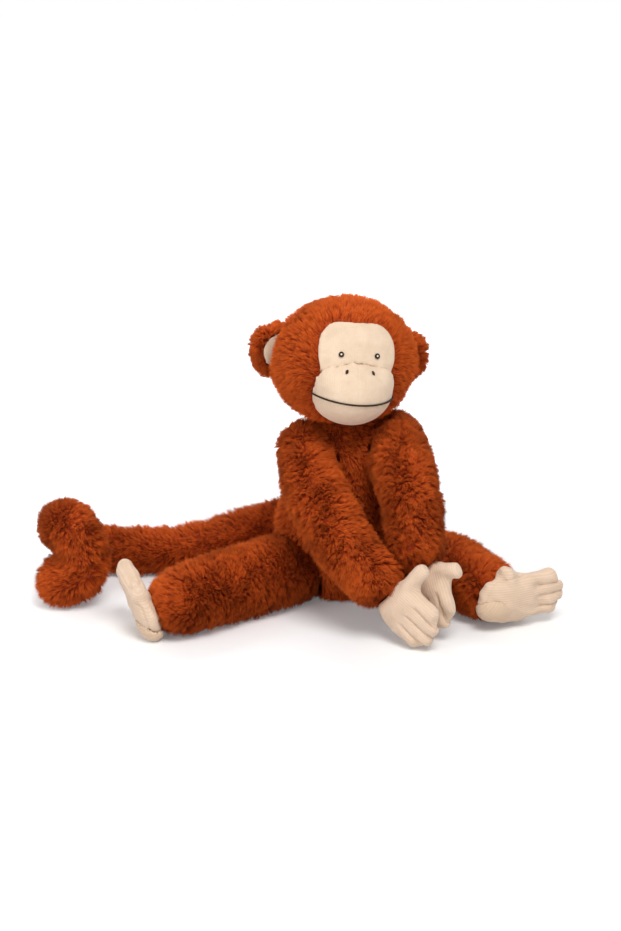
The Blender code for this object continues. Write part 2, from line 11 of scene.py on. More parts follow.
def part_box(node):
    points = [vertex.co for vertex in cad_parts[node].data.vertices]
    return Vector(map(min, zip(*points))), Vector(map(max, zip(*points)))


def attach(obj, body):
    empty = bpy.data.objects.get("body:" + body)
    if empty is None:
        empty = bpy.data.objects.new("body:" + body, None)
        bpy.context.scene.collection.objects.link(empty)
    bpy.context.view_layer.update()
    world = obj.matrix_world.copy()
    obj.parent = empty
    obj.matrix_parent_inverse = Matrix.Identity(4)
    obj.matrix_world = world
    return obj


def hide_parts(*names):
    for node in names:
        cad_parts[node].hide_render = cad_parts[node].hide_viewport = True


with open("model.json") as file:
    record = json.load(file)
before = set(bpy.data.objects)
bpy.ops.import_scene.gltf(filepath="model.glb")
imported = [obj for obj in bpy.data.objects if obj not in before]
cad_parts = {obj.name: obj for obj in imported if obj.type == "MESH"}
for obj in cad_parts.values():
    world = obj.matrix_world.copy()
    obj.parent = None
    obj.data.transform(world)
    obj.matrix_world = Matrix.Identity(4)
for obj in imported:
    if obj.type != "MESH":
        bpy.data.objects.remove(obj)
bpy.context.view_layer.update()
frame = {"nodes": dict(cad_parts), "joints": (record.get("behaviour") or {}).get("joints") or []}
scene = bpy.context.scene
joints = {joint["name"]: joint for joint in frame["joints"]}
print("frame loaded:", len(frame["nodes"]), "nodes")


# small helpers for objects and meshes
def addObject(name, data):
    made = bpy.data.objects.new(name, data)
    scene.collection.objects.link(made)
    return made


def turnTo(thing, direction):
    thing.rotation_mode = "QUATERNION"
    thing.rotation_quaternion = direction.to_track_quat("-Z", "Y")


def meshFrom(bm, name):
    mesh = bpy.data.meshes.new(name)
    bm.to_mesh(mesh)
    bm.free()
    return mesh


def nodeCopy(node, name):
    bm = bmesh.new()
    bm.from_mesh(frame["nodes"][node].data)
    bmesh.ops.remove_doubles(bm, verts=bm.verts, dist=1e-6)
    return addObject(name, meshFrom(bm, name))


def applyModifiers(piece):
    bpy.context.view_layer.update()
    graph = bpy.context.evaluated_depsgraph_get()
    mesh = bpy.data.meshes.new_from_object(piece.evaluated_get(graph))
    old = piece.data
    piece.modifiers.clear()
    piece.data = mesh
    bpy.data.meshes.remove(old)
    mesh.name = piece.name


def plump(node, name, setup):
    # a smooth stuffed copy of a CAD solid, with clefts narrower than twice the bridge closed
    piece = nodeCopy(node, name)
    inset = setup.get("inset", 0.0)
    bridge = setup.get("bridge", 0.0)

    def remesh():
        step = piece.modifiers.new("remesh", "REMESH")
        step.mode = "VOXEL"
        step.voxel_size = setup["voxel"]

    def swell(amount):
        step = piece.modifiers.new("swell", "DISPLACE")
        step.mid_level = 0.0
        step.strength = amount

    remesh()
    if bridge:
        swell(bridge)
        remesh()
    smooth = piece.modifiers.new("smooth", "SMOOTH")
    smooth.factor = 0.5
    smooth.iterations = setup["rounds"]
    swell(-inset - bridge)
    applyModifiers(piece)
    piece.data.shade_smooth()
    return piece


def pointsOf(mesh):
    points = np.empty(len(mesh.vertices) * 3)
    mesh.vertices.foreach_get("co", points)
    return points.reshape(-1, 3)


def normalsOf(mesh):
    normals = np.empty(len(mesh.vertices) * 3, np.float32)
    mesh.vertex_normals.foreach_get("vector", normals)
    return normals.reshape(-1, 3).astype(float)


def trianglesOf(mesh):
    mesh.calc_loop_triangles()
    faces = np.empty(len(mesh.loop_triangles) * 3, np.int32)
    mesh.loop_triangles.foreach_get("vertices", faces)
    return faces.reshape(-1, 3)


def setPoints(piece, points):
    piece.data.vertices.foreach_set("co", points.astype(np.float32).ravel())
    piece.data.update()


def unit(vectors):
    return vectors / np.maximum(np.linalg.norm(vectors, axis=1, keepdims=True), 1e-9)


def ease(value, start, width):
    share = np.clip((value - start) / width, 0, 1)
    return share * share * (3 - 2 * share)


def waveField(spots, rng, shortest, longest, waves=8):
    # a smooth wandering vector at each spot, with a spread of about one
    field = np.zeros((len(spots), 3))
    for _ in range(waves):
        heading = unit(rng.normal(size=(1, 3)))[0]
        push = unit(rng.normal(size=(1, 3)))[0]
        turns = spots @ heading * (2 * math.pi / rng.uniform(shortest, longest)) + rng.uniform(0, 2 * math.pi)
        field += np.sin(turns)[:, None] * push
    return field / math.sqrt(waves / 6)


madePieces = {}


def treeOf(*nodes):
    # the neighbours' surfaces, as cloth where it is made and else as CAD solids
    points, faces = [], []
    for node in nodes:
        mesh = madePieces.get(node, frame["nodes"][node]).data
        start = len(points)
        points += [vert.co.copy() for vert in mesh.vertices]
        faces += [[start + i for i in poly.vertices] for poly in mesh.polygons]
    return BVHTree.FromPolygons(points, faces)


def jointAt(name):
    return Vector(joints[name]["pos_m"])


def middleOf(node):
    low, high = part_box(node)
    return (Vector(low) + Vector(high)) / 2


def finishPiece(piece, body, slot, *nodes, fill=None):
    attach(piece, body)
    if nodes:
        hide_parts(*nodes)


# camera, at the photograph's angle
cameraSetup = {
    "target": (-0.0385, 0.0, 0.1309),
    "elevation": 18.0,
    "distance": 2.0,
    "lens": 77.34,
    "sensor": 36.0,  # mm, along the picture's long side
}


def addCamera(setup):
    data = bpy.data.cameras.new("camera")
    data.lens = setup["lens"]
    data.sensor_width = setup["sensor"]
    camera = addObject("camera", data)
    tilt = math.radians(setup["elevation"])
    back = Vector((0, -math.cos(tilt), math.sin(tilt)))
    camera.location = Vector(setup["target"]) + back * setup["distance"]
    turnTo(camera, -back)
    scene.camera = camera


addCamera(cameraSetup)


# helpers for node trees
def setInputs(tree, node, inputs):
    for key, value in inputs.items():
        if isinstance(value, bpy.types.NodeSocket):
            tree.links.new(value, node.inputs[key])
        else:
            node.inputs[key].default_value = value


def addNode(tree, kind, inputs=None, **settings):
    node = tree.nodes.new(kind)
    for key, value in settings.items():
        setattr(node, key, value)
    setInputs(tree, node, inputs or {})
    return node


def addMath(tree, operation, *values, clamp=False):
    node = addNode(tree, "ShaderNodeMath", dict(enumerate(values)), operation=operation, use_clamp=clamp)
    return node.outputs[0]


def addRange(tree, value, start, end, blend="LINEAR"):
    # maps the first pair of values on to the second
    inputs = {"Value": value, "From Min": start[0], "From Max": start[1], "To Min": end[0], "To Max": end[1]}
    return addNode(tree, "ShaderNodeMapRange", inputs, interpolation_type=blend).outputs[0]


def addNoise(tree, place, scale, detail, roughness):
    inputs = {"Vector": place, "Scale": scale, "Detail": detail, "Roughness": roughness}
    return addNode(tree, "ShaderNodeTexNoise", inputs).outputs["Fac"]


def addBump(tree, height, strength, distance):
    inputs = {"Height": height, "Strength": strength, "Distance": distance}
    return addNode(tree, "ShaderNodeBump", inputs).outputs[0]


def addAttribute(tree, name):
    return addNode(tree, "ShaderNodeAttribute", attribute_name=name, attribute_type="GEOMETRY")


def objectPlace(tree):
    return addNode(tree, "ShaderNodeTexCoord").outputs["Object"]


def mixColour(tree, factor, first, second, blend="MIX"):
    # a mix node takes its two colours in sockets 6 and 7, and gives the result in 2
    inputs = {0: factor, 6: first, 7: second}
    return addNode(tree, "ShaderNodeMix", inputs, data_type="RGBA", blend_type=blend).outputs[2]


def newGroup(name, inputs, outputs):
    group = bpy.data.node_groups.new(name, "ShaderNodeTree")
    for label, kind, value in inputs:
        socket = group.interface.new_socket(label, in_out="INPUT", socket_type=kind)
        if value is not None:
            socket.default_value = value
    for label, kind in outputs:
        group.interface.new_socket(label, in_out="OUTPUT", socket_type=kind)
    entry = group.nodes.new("NodeGroupInput")
    leave = group.nodes.new("NodeGroupOutput")
    return group, entry, leave


def newMaterial(name):
    made = bpy.data.materials.new(name)
    made.use_nodes = True
    return made, made.node_tree, made.node_tree.nodes["Principled BSDF"]


# cream cloth: a ribbed nap with fine fuzz, a slow change of tone, and painted shade in the valleys between
# the ribs
napSetup = {
    "ribs": {"Distortion": 1.2, "Detail": 2.0, "Detail Scale": 2.0},
    "fuzz": {"scale": 1100.0, "detail": 3.0, "roughness": 0.7},
    "fuzzShare": 0.55,
    "patches": {"scale": 75.0, "detail": 4.0, "roughness": 0.6},
    "valleyShade": ((0.15, 0.75), (0.55, 0.0)),
    "worn": ((0.35, 0.7), (0.0, 0.30)),
    "rough": ((0.3, 0.7), (0.75, 0.95)),
    "bumpDepth": 0.0006,
}


def makeVelourGroup(setup):
    group, entry, leave = newGroup(
        "velourNap",
        [
            ("Vector", "NodeSocketVector", None),
            ("Colour", "NodeSocketColor", (0.8, 0.6, 0.4, 1)),
            ("Shade", "NodeSocketColor", (0.5, 0.35, 0.2, 1)),
            ("Rib Scale", "NodeSocketFloat", 150.0),
            ("Rib Depth", "NodeSocketFloat", 0.5),
        ],
        [("Colour", "NodeSocketColor"), ("Height", "NodeSocketFloat"), ("Roughness", "NodeSocketFloat")],
    )
    given = entry.outputs
    weave = dict(setup["ribs"], Vector=given["Vector"], Scale=given["Rib Scale"])
    ribs = addNode(group, "ShaderNodeTexWave", weave, wave_type="BANDS", bands_direction="X")
    fuzz = addNoise(group, given["Vector"], **setup["fuzz"])
    patches = addNoise(group, given["Vector"], **setup["patches"])
    ribPart = addMath(group, "MULTIPLY", ribs.outputs["Fac"], given["Rib Depth"])
    height = addMath(group, "MULTIPLY_ADD", fuzz, setup["fuzzShare"], ribPart)
    # painted shade: the cloth darkens where the ribs and fuzz are low, as if shade fell in their valleys
    valleyShade = addRange(group, height, *setup["valleyShade"])
    worn = addRange(group, patches, *setup["worn"])
    depth = addMath(group, "ADD", valleyShade, worn, clamp=True)
    colour = mixColour(group, depth, given["Colour"], given["Shade"])
    rough = addRange(group, fuzz, *setup["rough"])
    setInputs(group, leave, {"Colour": colour, "Height": height, "Roughness": rough})
    return group


velourGroup = makeVelourGroup(napSetup)


def velourMaterial(name, setup):
    made, tree, shader = newMaterial(name)
    nap = addNode(tree, "ShaderNodeGroup", node_tree=velourGroup)
    cloth = {
        "Vector": addAttribute(tree, "clothSpot").outputs["Vector"],
        "Colour": (*setup["colour"], 1),
        "Shade": (*setup["shade"], 1),
        "Rib Scale": setup["ribScale"],
        "Rib Depth": setup["ribDepth"],
    }
    setInputs(tree, nap, cloth)
    look = {
        "Base Color": nap.outputs["Colour"],
        "Roughness": nap.outputs["Roughness"],
        "Normal": addBump(tree, nap.outputs["Height"], setup["bump"], napSetup["bumpDepth"]),
        "Sheen Weight": 0.25,
        "Sheen Roughness": 0.5,
        "Specular IOR Level": 0.2,
    }
    setInputs(tree, shader, look)
    return made


creamShade = {"shade": (0.60, 0.43, 0.29)}
faceCloth = dict(creamShade, colour=(0.85, 0.68, 0.52), ribScale=210.0, ribDepth=0.12, bump=0.3)
handCloth = dict(creamShade, colour=(0.77, 0.58, 0.44), ribScale=140.0, ribDepth=0.42, bump=0.5)
heelCloth = dict(creamShade, colour=(0.70, 0.51, 0.36), ribScale=120.0, ribDepth=0.5, bump=0.7)
faceVelour = velourMaterial("faceVelour", faceCloth)
handVelour = velourMaterial("handVelour", handCloth)
heelVelour = velourMaterial("heelVelour", heelCloth)


# fur: strands on a knitted backing
furColours = {
    # painted shade: the dark root colour stands for the shade deep in the pile between the strands
    "root": (0.195, 0.0165, 0.0012),
    "rootUntil": 0.05,
    "middle": (0.50, 0.067, 0.0070),
    "middleAt": 0.55,
    "tip": (0.81, 0.150, 0.020),
    "darkTint": (0.84, 0.80, 0.76),
    "paleTint": (1.12, 1.16, 1.2),
}


def pileMaterial(name, setup):
    # colour runs from a dark root, painted shade from deep in the pile, to a lit tip, and each strand has its
    # own tone
    made, tree, shader = newMaterial(name)
    rise = addAttribute(tree, "strandRise").outputs["Fac"]
    tone = addAttribute(tree, "strandTone").outputs["Fac"]
    ramp = addNode(tree, "ShaderNodeValToRGB", {"Fac": rise})
    steps = ramp.color_ramp.elements
    steps[0].position = setup["rootUntil"]
    steps[0].color = (*setup["root"], 1)
    steps[1].position = 1.0
    steps[1].color = (*setup["tip"], 1)
    middle = steps.new(setup["middleAt"])
    middle.color = (*setup["middle"], 1)
    tint = addNode(tree, "ShaderNodeValToRGB", {"Fac": tone})
    tint.color_ramp.elements[0].color = (*setup["darkTint"], 1)
    tint.color_ramp.elements[1].color = (*setup["paleTint"], 1)
    colour = mixColour(tree, 1.0, ramp.outputs["Color"], tint.outputs["Color"], "MULTIPLY")
    setInputs(tree, shader, {"Base Color": colour, "Roughness": 0.7, "Specular IOR Level": 0.12})
    return made


def shadedBackingMaterial(name, setup):
    # the knitted backing that shows between the tufts, in the pile's dark root colours: painted shade deep in
    # the pile
    made, tree, shader = newMaterial(name)
    noise = addNoise(tree, objectPlace(tree), scale=420.0, detail=4.0, roughness=0.7)
    colour = mixColour(tree, noise, (*setup["root"], 1), (*setup["middle"], 1))
    bump = addBump(tree, noise, strength=0.8, distance=0.001)
    setInputs(tree, shader, {"Base Color": colour, "Normal": bump, "Roughness": 0.9})
    return made


def threadMaterial(name, colour, pale):
    made, tree, shader = newMaterial(name)
    yarn = {"Vector": objectPlace(tree), "Scale": 420.0, "Distortion": 2.0, "Detail": 1.0}
    twist = addNode(tree, "ShaderNodeTexWave", yarn, wave_type="BANDS", bands_direction="DIAGONAL")
    mixed = mixColour(tree, twist.outputs["Fac"], (*colour, 1), (*pale, 1))
    bump = addBump(tree, twist.outputs["Fac"], strength=0.5, distance=0.0004)
    look = {"Base Color": mixed, "Normal": bump, "Roughness": 0.7, "Specular IOR Level": 0.2}
    setInputs(tree, shader, look)
    return made


pileCloth = pileMaterial("rustPile", furColours)
shadedBackingCloth = shadedBackingMaterial("rustBackingShaded", furColours)
darkThread = threadMaterial("darkThread", (0.016, 0.007, 0.003), (0.045, 0.021, 0.010))
glintThread = threadMaterial("glintThread", (0.78, 0.72, 0.64), (0.90, 0.86, 0.80))
print("materials made")


# cream pieces: smoothed, filled out by their stuffing, then stitched
def placeOf(origin, ahead, up):
    x = Vector(ahead).normalized()
    y = Vector(up).cross(x).normalized()
    turn = Matrix((x, y, x.cross(y))).transposed().to_4x4()
    return Matrix.Translation(origin) @ turn


def localOf(points, place):
    return (points - np.array(place.translation)) @ np.array(place.to_3x3())


def worldOf(local, place):
    return local @ np.array(place.to_3x3()).T + np.array(place.translation)


def reshape(piece, place, change, setup):
    local = localOf(pointsOf(piece.data), place)
    change(local, setup)
    setPoints(piece, worldOf(local, place))


def squareUp(local, setup):
    # a fuller upper corner than an ellipsoid has
    tall, wide = setup["half"]
    up, across = np.maximum(local[:, 0], 0) / tall, np.abs(local[:, 1]) / wide
    size = np.hypot(up, across) + 1e-9
    power = setup["power"]
    fuller = ((up / size) ** power + (across / size) ** power) ** (-1 / power)
    grow = 1 + (fuller - 1) * ease(across, *setup["run"])
    local[:, 0] *= np.where(local[:, 0] > 0, grow, 1)
    local[:, 1] *= grow


def trimBelow(local, setup):
    # tucks the panel's sides and its lower corners under the fur
    local[:, 1] *= setup["narrow"] - setup["taper"] * ease(-local[:, 0], *setup["taperRun"])
    local[:, 2] -= setup["sink"] * ease(-local[:, 0], *setup["sinkRun"])


def shortenThumb(local, setup):
    beyond = np.maximum(setup["side"] * local[:, 1] - setup["from"], 0)
    local[:, 1] -= setup["side"] * (1 - setup["keep"]) * beyond


def fillOut(piece, setup):
    # the filling pushes the cloth out a little, less where it meets its neighbour
    before = pointsOf(piece.data)
    cloth = piece.modifiers.new("cloth", "CLOTH")
    cloth.settings.use_pressure = True
    cloth.settings.uniform_pressure_force = setup["pressure"]
    cloth.settings.effector_weights.gravity = 0.0
    for step in range(1, setup["frames"] + 1):
        scene.frame_set(step)
    applyModifiers(piece)
    scene.frame_set(1)
    move = pointsOf(piece.data) - before
    size = np.linalg.norm(move, axis=1, keepdims=True)
    move *= np.minimum(1, setup["cap"] / np.maximum(size, 1e-9))
    if "pivot" in setup:
        away = np.linalg.norm(before - np.array(setup["pivot"]), axis=1)
        move *= ease(away, *setup["pivotRun"])[:, None]
    setPoints(piece, before + move)


def subdivide(piece):
    finer = piece.modifiers.new("finer", "SUBSURF")
    finer.levels = 1
    finer.render_levels = 1
    applyModifiers(piece)
    piece.data.shade_smooth()


def closeSeam(piece, setup):
    # draws the edge of a panel on to the cloth that it is sewn to
    points = pointsOf(piece.data)
    tree = treeOf(setup["to"])
    for index, point in enumerate(points):
        spot, _, _, gap = tree.find_nearest(Vector(point), setup["reach"])
        if spot is not None:
            points[index] += (np.array(spot) - point) * (1 - ease(gap, *setup["run"]))
    setPoints(piece, points)


stitchSetup = {"waves": (0.008, 0.03), "grooveEnd": 0.007, "ringEnd": 0.006}


def stitch(piece, setup, seed):
    # sewn grooves and a soft unevenness, and the cloth's own directions for its ribs
    points = pointsOf(piece.data)
    local = localOf(points, setup["place"])
    rng = np.random.default_rng(seed)
    sink = setup.get("rumple", 0.0) * waveField(points, rng, *stitchSetup["waves"])[:, 0]
    for groove in setup.get("grooves", ()):
        run = ease(local[:, 0], groove["start"], stitchSetup["grooveEnd"])
        run = run * ease(-local[:, 0], -groove["end"], stitchSetup["grooveEnd"])
        aside = (local[:, 1] - groove["at"]) / groove["wide"]
        sink = sink + groove["depth"] * run * np.exp(-(aside**2))
    if "ring" in setup:
        ring = setup["ring"]
        long, wide = ring["half"]
        rim = np.hypot((local[:, 0] - ring["middle"]) / long, local[:, 1] / wide)
        run = ease(-local[:, 0], -ring["until"], stitchSetup["ringEnd"])
        aside = (rim - ring["at"]) / ring["wide"]
        sink = sink + ring["depth"] * run * np.exp(-(aside**2))
    setPoints(piece, points - normalsOf(piece.data) * sink[:, None])
    spot = piece.data.attributes.new("clothSpot", "FLOAT_VECTOR", "POINT")
    spot.data.foreach_set("vector", local[:, (1, 0, 2)].astype(np.float32).ravel())


def makeCream(node, setup, seed):
    piece = plump(node, node + "_cloth", setup)
    if "square" in setup:
        reshape(piece, setup["place"], squareUp, setup["square"])
    if "thumb" in setup:
        reshape(piece, setup["place"], shortenThumb, setup["thumb"])
    if "filling" in setup:
        fillOut(piece, setup["filling"])
    if "filling" in setup:
        subdivide(piece)
    if "trim" in setup:
        reshape(piece, setup["place"], trimBelow, setup["trim"])
    if "seam" in setup:
        closeSeam(piece, setup["seam"])
    stitch(piece, setup, seed)
    piece.data.materials.append(setup["cloth"])
    finishPiece(piece, setup["body"], "velour", node, fill=setup["fill"])
    madePieces[node] = piece


# each run says where a change starts and how far it takes to reach its full size
faceUp = (0.102, 0.022, 0.994)
faceAhead = (0.208, -0.978, 0.0)
facePlace = placeOf(middleOf("head"), faceUp, faceAhead)
muzzlePlace = placeOf(middleOf("muzzle"), faceUp, faceAhead)
filling = {"pressure": 4.0, "frames": 20}
earLining = {
    "body": "head",
    "place": facePlace,
    "voxel": 0.0010,
    "rounds": 3,
    "cloth": faceVelour,
    "fill": 0.3,
}
creamPieces = {
    "muzzle": {
        "body": "head",
        "place": muzzlePlace,
        "voxel": 0.0026,
        "rounds": 3,
        "inset": -0.0004,
        "cloth": faceVelour,
        "fill": 0.8,
        "square": {"half": (0.036, 0.0415), "power": 3.3, "run": (0.42, 0.3)},
        "filling": dict(filling, cap=0.0006),
        "grooves": [{"at": 0.0, "start": -0.004, "end": 0.1, "depth": 0.0005, "wide": 0.0008}],
    },
    "face_panel": {
        "body": "head",
        "place": facePlace,
        "voxel": 0.0012,
        "rounds": 3,
        "inset": -0.0003,
        "cloth": faceVelour,
        "fill": 0.4,
        "trim": {
            "narrow": 0.955,
            "taper": 0.07,
            "taperRun": (-0.012, 0.016),
            "sink": 0.006,
            "sinkRun": (0.001, 0.006),
        },
        "seam": {"to": "muzzle", "reach": 0.0025, "run": (0.000875, 0.001625)},
    },
    "ear_lining_right": earLining,
    "ear_lining_left": earLining,
}

# how each hand and foot lies, and how its thumb is shortened
limbLies = {
    "right": {
        "fingers": (0.66, -0.52, -0.54),
        "palm": (0.40, 0.88, -0.05),
        "thumb": {"from": 0.027, "keep": 0.95},
        "toes": (-0.42, 0.81, 0.41),
        "sole": (-0.90, -0.28, -0.33),
    },
    "left": {
        "fingers": (0.26, -0.36, -0.895),
        "palm": (-0.50, -0.85, 0.10),
        "thumb": {"from": 0.024, "keep": 0.65},
        "toes": (0.93, 0.36, 0.03),
        "sole": (0.361, -0.932, 0.0),
    },
}
mitt = {"voxel": 0.0025, "rounds": 2, "bridge": 0.005, "cloth": handVelour, "fill": 0.7, "rumple": 0.0005}
heelPad = {"voxel": 0.0010, "rounds": 2, "inset": -0.0010, "cloth": heelVelour, "fill": 0.4}
heelTurn = 0.8  # radians, for the pad's ribs
heelSeam = {
    "middle": 0.012,
    "half": (0.035, 0.027),
    "at": 0.84,
    "until": 0.028,
    "depth": 0.0011,
    "wide": 0.035,
}
digitGroove = {"end": 0.1, "depth": 0.0022, "wide": 0.0012}
handStitch = [dict(digitGroove, at=y, start=0.048) for y in (-0.0112, 0.0, 0.0112)]
footStitch = [dict(digitGroove, at=y, start=0.034) for y in (-0.0108, 0.0, 0.0108)]
for side, lie in limbLies.items():
    wrist, ankle = jointAt("wrist_" + side), jointAt("ankle_" + side)
    handPlace = placeOf(wrist, lie["fingers"], lie["palm"])
    footPlace = placeOf(ankle, lie["toes"], lie["sole"])
    thumbSide = 1 if handPlace.col[1].z > 0 else -1  # the thumb is on the upper side
    creamPieces["hand_" + side] = dict(
        mitt,
        body="hand_" + side,
        place=handPlace,
        thumb=dict(lie["thumb"], side=thumbSide),
        grooves=handStitch,
        filling=dict(filling, cap=0.0012, pivot=wrist, pivotRun=(0.028, 0.01)),
    )
    creamPieces["foot_" + side] = dict(
        mitt,
        body="foot_" + side,
        place=footPlace,
        grooves=footStitch,
        ring=heelSeam,
        filling=dict(filling, cap=0.0010, pivot=ankle, pivotRun=(0.034, 0.01)),
    )
    heelPlace = footPlace @ Matrix.Rotation(heelTurn, 4, "Z")
    creamPieces["heel_pad_" + side] = dict(heelPad, body="foot_" + side, place=heelPlace)
for seed, (node, setup) in enumerate(creamPieces.items(), start=30):
    makeCream(node, setup, seed)
print("cream pieces done")


# embroidery keeps its CAD solids, and each eye has a pale knot in its ring, partly a white thread and partly
# a painted highlight for the eye's glint
for node in ("eye_left", "eye_right", "nostril_left", "nostril_right", "mouth_thread"):
    solid = frame["nodes"][node]
    solid.data.materials.clear()
    solid.data.materials.append(darkThread)
eyeThreads = {
    "eye_disc": {"radius": 0.0022, "height": 0.0007, "thread": darkThread},
    # painted highlight: the pale knot stands for the glint at the eye's centre as well as a white thread
    "eye_glint_knot": {"radius": 0.0011, "height": 0.0013, "thread": glintThread},
}


def addEyeThread(name, ring, setup):
    points = pointsOf(frame["nodes"][ring].data)
    middle = points.mean(axis=0)
    thinnest = Vector(np.linalg.svd(points - middle)[2][2])
    turn = thinnest.to_track_quat("Z", "Y").to_matrix().to_4x4()
    size = Matrix.Diagonal((setup["radius"], setup["radius"], setup["height"], 1))
    place = Matrix.Translation(middle) @ turn @ size
    bm = bmesh.new()
    bmesh.ops.create_uvsphere(bm, u_segments=16, v_segments=10, radius=1, matrix=place)
    mesh = meshFrom(bm, name)
    mesh.shade_smooth()
    mesh.materials.append(setup["thread"])
    finishPiece(addObject(name, mesh), "head", "thread")


for side in ("left", "right"):
    for name, setup in eyeThreads.items():
        addEyeThread(name + "_" + side, "eye_" + side, setup)
print("embroidery done")


# pile: thousands of short tapered strands that stand up and gather into tufts
def combAlong(line):
    points = np.array([list(point) for point in line])

    def direction(roots):
        starts, ends = points[:-1], points[1:]
        run = ends - starts
        share = np.einsum("nsk,sk->ns", roots[:, None, :] - starts[None], run) / (run**2).sum(1)
        share = np.clip(share, 0, 1)
        near = starts[None] + share[..., None] * run[None]
        pick = np.argmin(((roots[:, None, :] - near) ** 2).sum(2), axis=1)
        return unit(run[pick])

    return direction


def combLimb(side, top, end):
    return combAlong([jointAt(top + "_" + side), jointAt(end + "_" + side)])


def combFrom(centre):
    def direction(roots):
        return unit(roots - np.array(centre))

    return direction


def combDown(roots):
    return np.tile((0.0, 0.0, -1.0), (len(roots), 1))


def sampleSurface(points, normals, faces, count, rng):
    corners = points[faces]
    spans = corners[:, 1:] - corners[:, :1]
    areas = 0.5 * np.linalg.norm(np.cross(spans[:, 0], spans[:, 1]), axis=1)
    pick = rng.choice(len(faces), size=count, p=areas / areas.sum())
    first = np.sqrt(rng.random(count))
    second = rng.random(count)
    weights = np.stack([1 - first, first * (1 - second), first * second], axis=1)
    roots = np.einsum("nk,nkd->nd", weights, corners[pick])
    return roots, unit(np.einsum("nk,nkd->nd", weights, normals[faces[pick]])), areas.sum()


def strandTip(roots, outward, along, length, lean):
    return roots + length[:, None] * (outward * np.cos(lean)[:, None] + along * np.sin(lean)[:, None])


def tangent(outward, directions):
    return unit(directions - (directions * outward).sum(1, keepdims=True) * outward)


roomSetup = {
    "ahead": 0.004,  # room is measured this far above a root
    "search": 0.05,
    "inside": 0.7,  # share of the gap that runs against the normal, for a spot inside a neighbour
    "least": 0.2,
}


def roomAbove(roots, outward, nodes, room):
    # share of the wanted room that the neighbours leave, and none inside them
    tree = treeOf(*nodes)
    share = np.ones(len(roots))
    for index, above in enumerate(roots + outward * roomSetup["ahead"]):
        spot, facing, _, gap = tree.find_nearest(Vector(above), roomSetup["search"])
        if spot is not None:
            inside = (Vector(above) - spot).dot(facing) < -roomSetup["inside"] * gap
            share[index] = 0.0 if inside else min(1.0, gap / room)
    return share


# how far tufts and their strands differ; waves, depths and gaps are in metres
tuftSpread = {
    "driftWaves": (0.025, 0.08),
    "patchWaves": (0.012, 0.06),
    "patchLength": 0.06,
    "length": (0.82, 1.12),
    "patchLean": 0.25,
    "lean": 0.3,
    "leanLimits": (0.2, 1.9),
    "patchTone": 0.12,
    "tone": (0.25, 0.75),
}
strandSpread = {
    "along": 0.25,
    "length": (0.72, 1.12),
    "leastLength": 0.4,
    "lean": (0.75, 1.25),
    "gather": (0.6, 1.2),
    "leastGather": 0.2,
    "flatLength": 0.5,
    "flatLean": (68, 80),  # degrees
    "width": (0.75, 1.2),
    "rootDepth": 0.0008,
    "floorGap": 0.0006,
    "tone": (-0.2, 0.2),
}


def makeTufts(surface, area, setup, comb, rng):
    # tufts lean with the comb and wander smoothly over the skin
    spread = tuftSpread
    count = int(area / setup["tuftSpacing"] ** 2)
    roots, outward, _ = sampleSurface(*surface, count, rng)
    drift = waveField(roots, rng, *spread["driftWaves"])
    patches = waveField(roots, rng, *spread["patchWaves"])
    stray = rng.normal(0, setup["stray"], (count, 3))
    along = tangent(outward, comb(roots) + setup["swirl"] * drift + stray)
    length = setup["length"] * (1 + spread["patchLength"] * patches[:, 1])
    length = length * rng.uniform(*spread["length"], count)
    change = 1 + spread["patchLean"] * patches[:, 2] + rng.normal(0, spread["lean"], count)
    lean = np.radians(setup["lean"]) * np.clip(change, *spread["leanLimits"])
    tone = spread["patchTone"] * patches[:, 0] + rng.uniform(*spread["tone"], count)
    tip = strandTip(roots, outward, along, length, lean)
    return {"roots": roots, "along": along, "length": length, "lean": lean, "tone": tone, "tip": tip}


def nearestTuft(roots, tuftRoots):
    tree = kdtree.KDTree(len(tuftRoots))
    for index, spot in enumerate(tuftRoots):
        tree.insert(spot, index)
    tree.balance()
    return np.array([tree.find(spot)[1] for spot in roots])


def strandTips(roots, outward, tuft, room, pressed, setup, rng):
    # strands gather towards their tuft's tip, and pressed ones lie flat
    spread = strandSpread
    count = len(roots)
    along = tangent(outward, tuft["along"] + rng.normal(0, spread["along"], (count, 3)))
    length = tuft["length"] * rng.uniform(*spread["length"], count) * np.clip(room, spread["leastLength"], 1)
    lean = tuft["lean"] * rng.uniform(*spread["lean"], count)
    tip = strandTip(roots, outward, along, length, lean)
    pull = setup["gather"] * np.clip(room, spread["leastGather"], 1) * rng.uniform(*spread["gather"], count)
    tip = tip + pull[:, None] * (tuft["tip"] - tip)
    flatLean = np.radians(rng.uniform(*spread["flatLean"], count))
    flat = strandTip(roots, outward, along, spread["flatLength"] * length, flatLean)
    return np.where(pressed[:, None], flat, tip)


def strandCorners(roots, outward, tip, setup, rng):
    # each strand is a slender pyramid on three base points
    count = len(roots)
    run = unit(tip - roots)
    first = unit(np.cross(run, rng.normal(0, 1, (count, 3))))
    second = np.cross(run, first)
    wide = 0.5 * setup["width"] * rng.uniform(*strandSpread["width"], count)[:, None]
    low = roots - outward * strandSpread["rootDepth"]
    turns = (0, 2 * math.pi / 3, 4 * math.pi / 3)
    spokes = [math.cos(turn) * first + math.sin(turn) * second for turn in turns]
    corners = np.stack([low + wide * spoke for spoke in spokes] + [tip], axis=1)
    corners[..., 2] = np.maximum(corners[..., 2], strandSpread["floorGap"])
    return corners, run, spokes


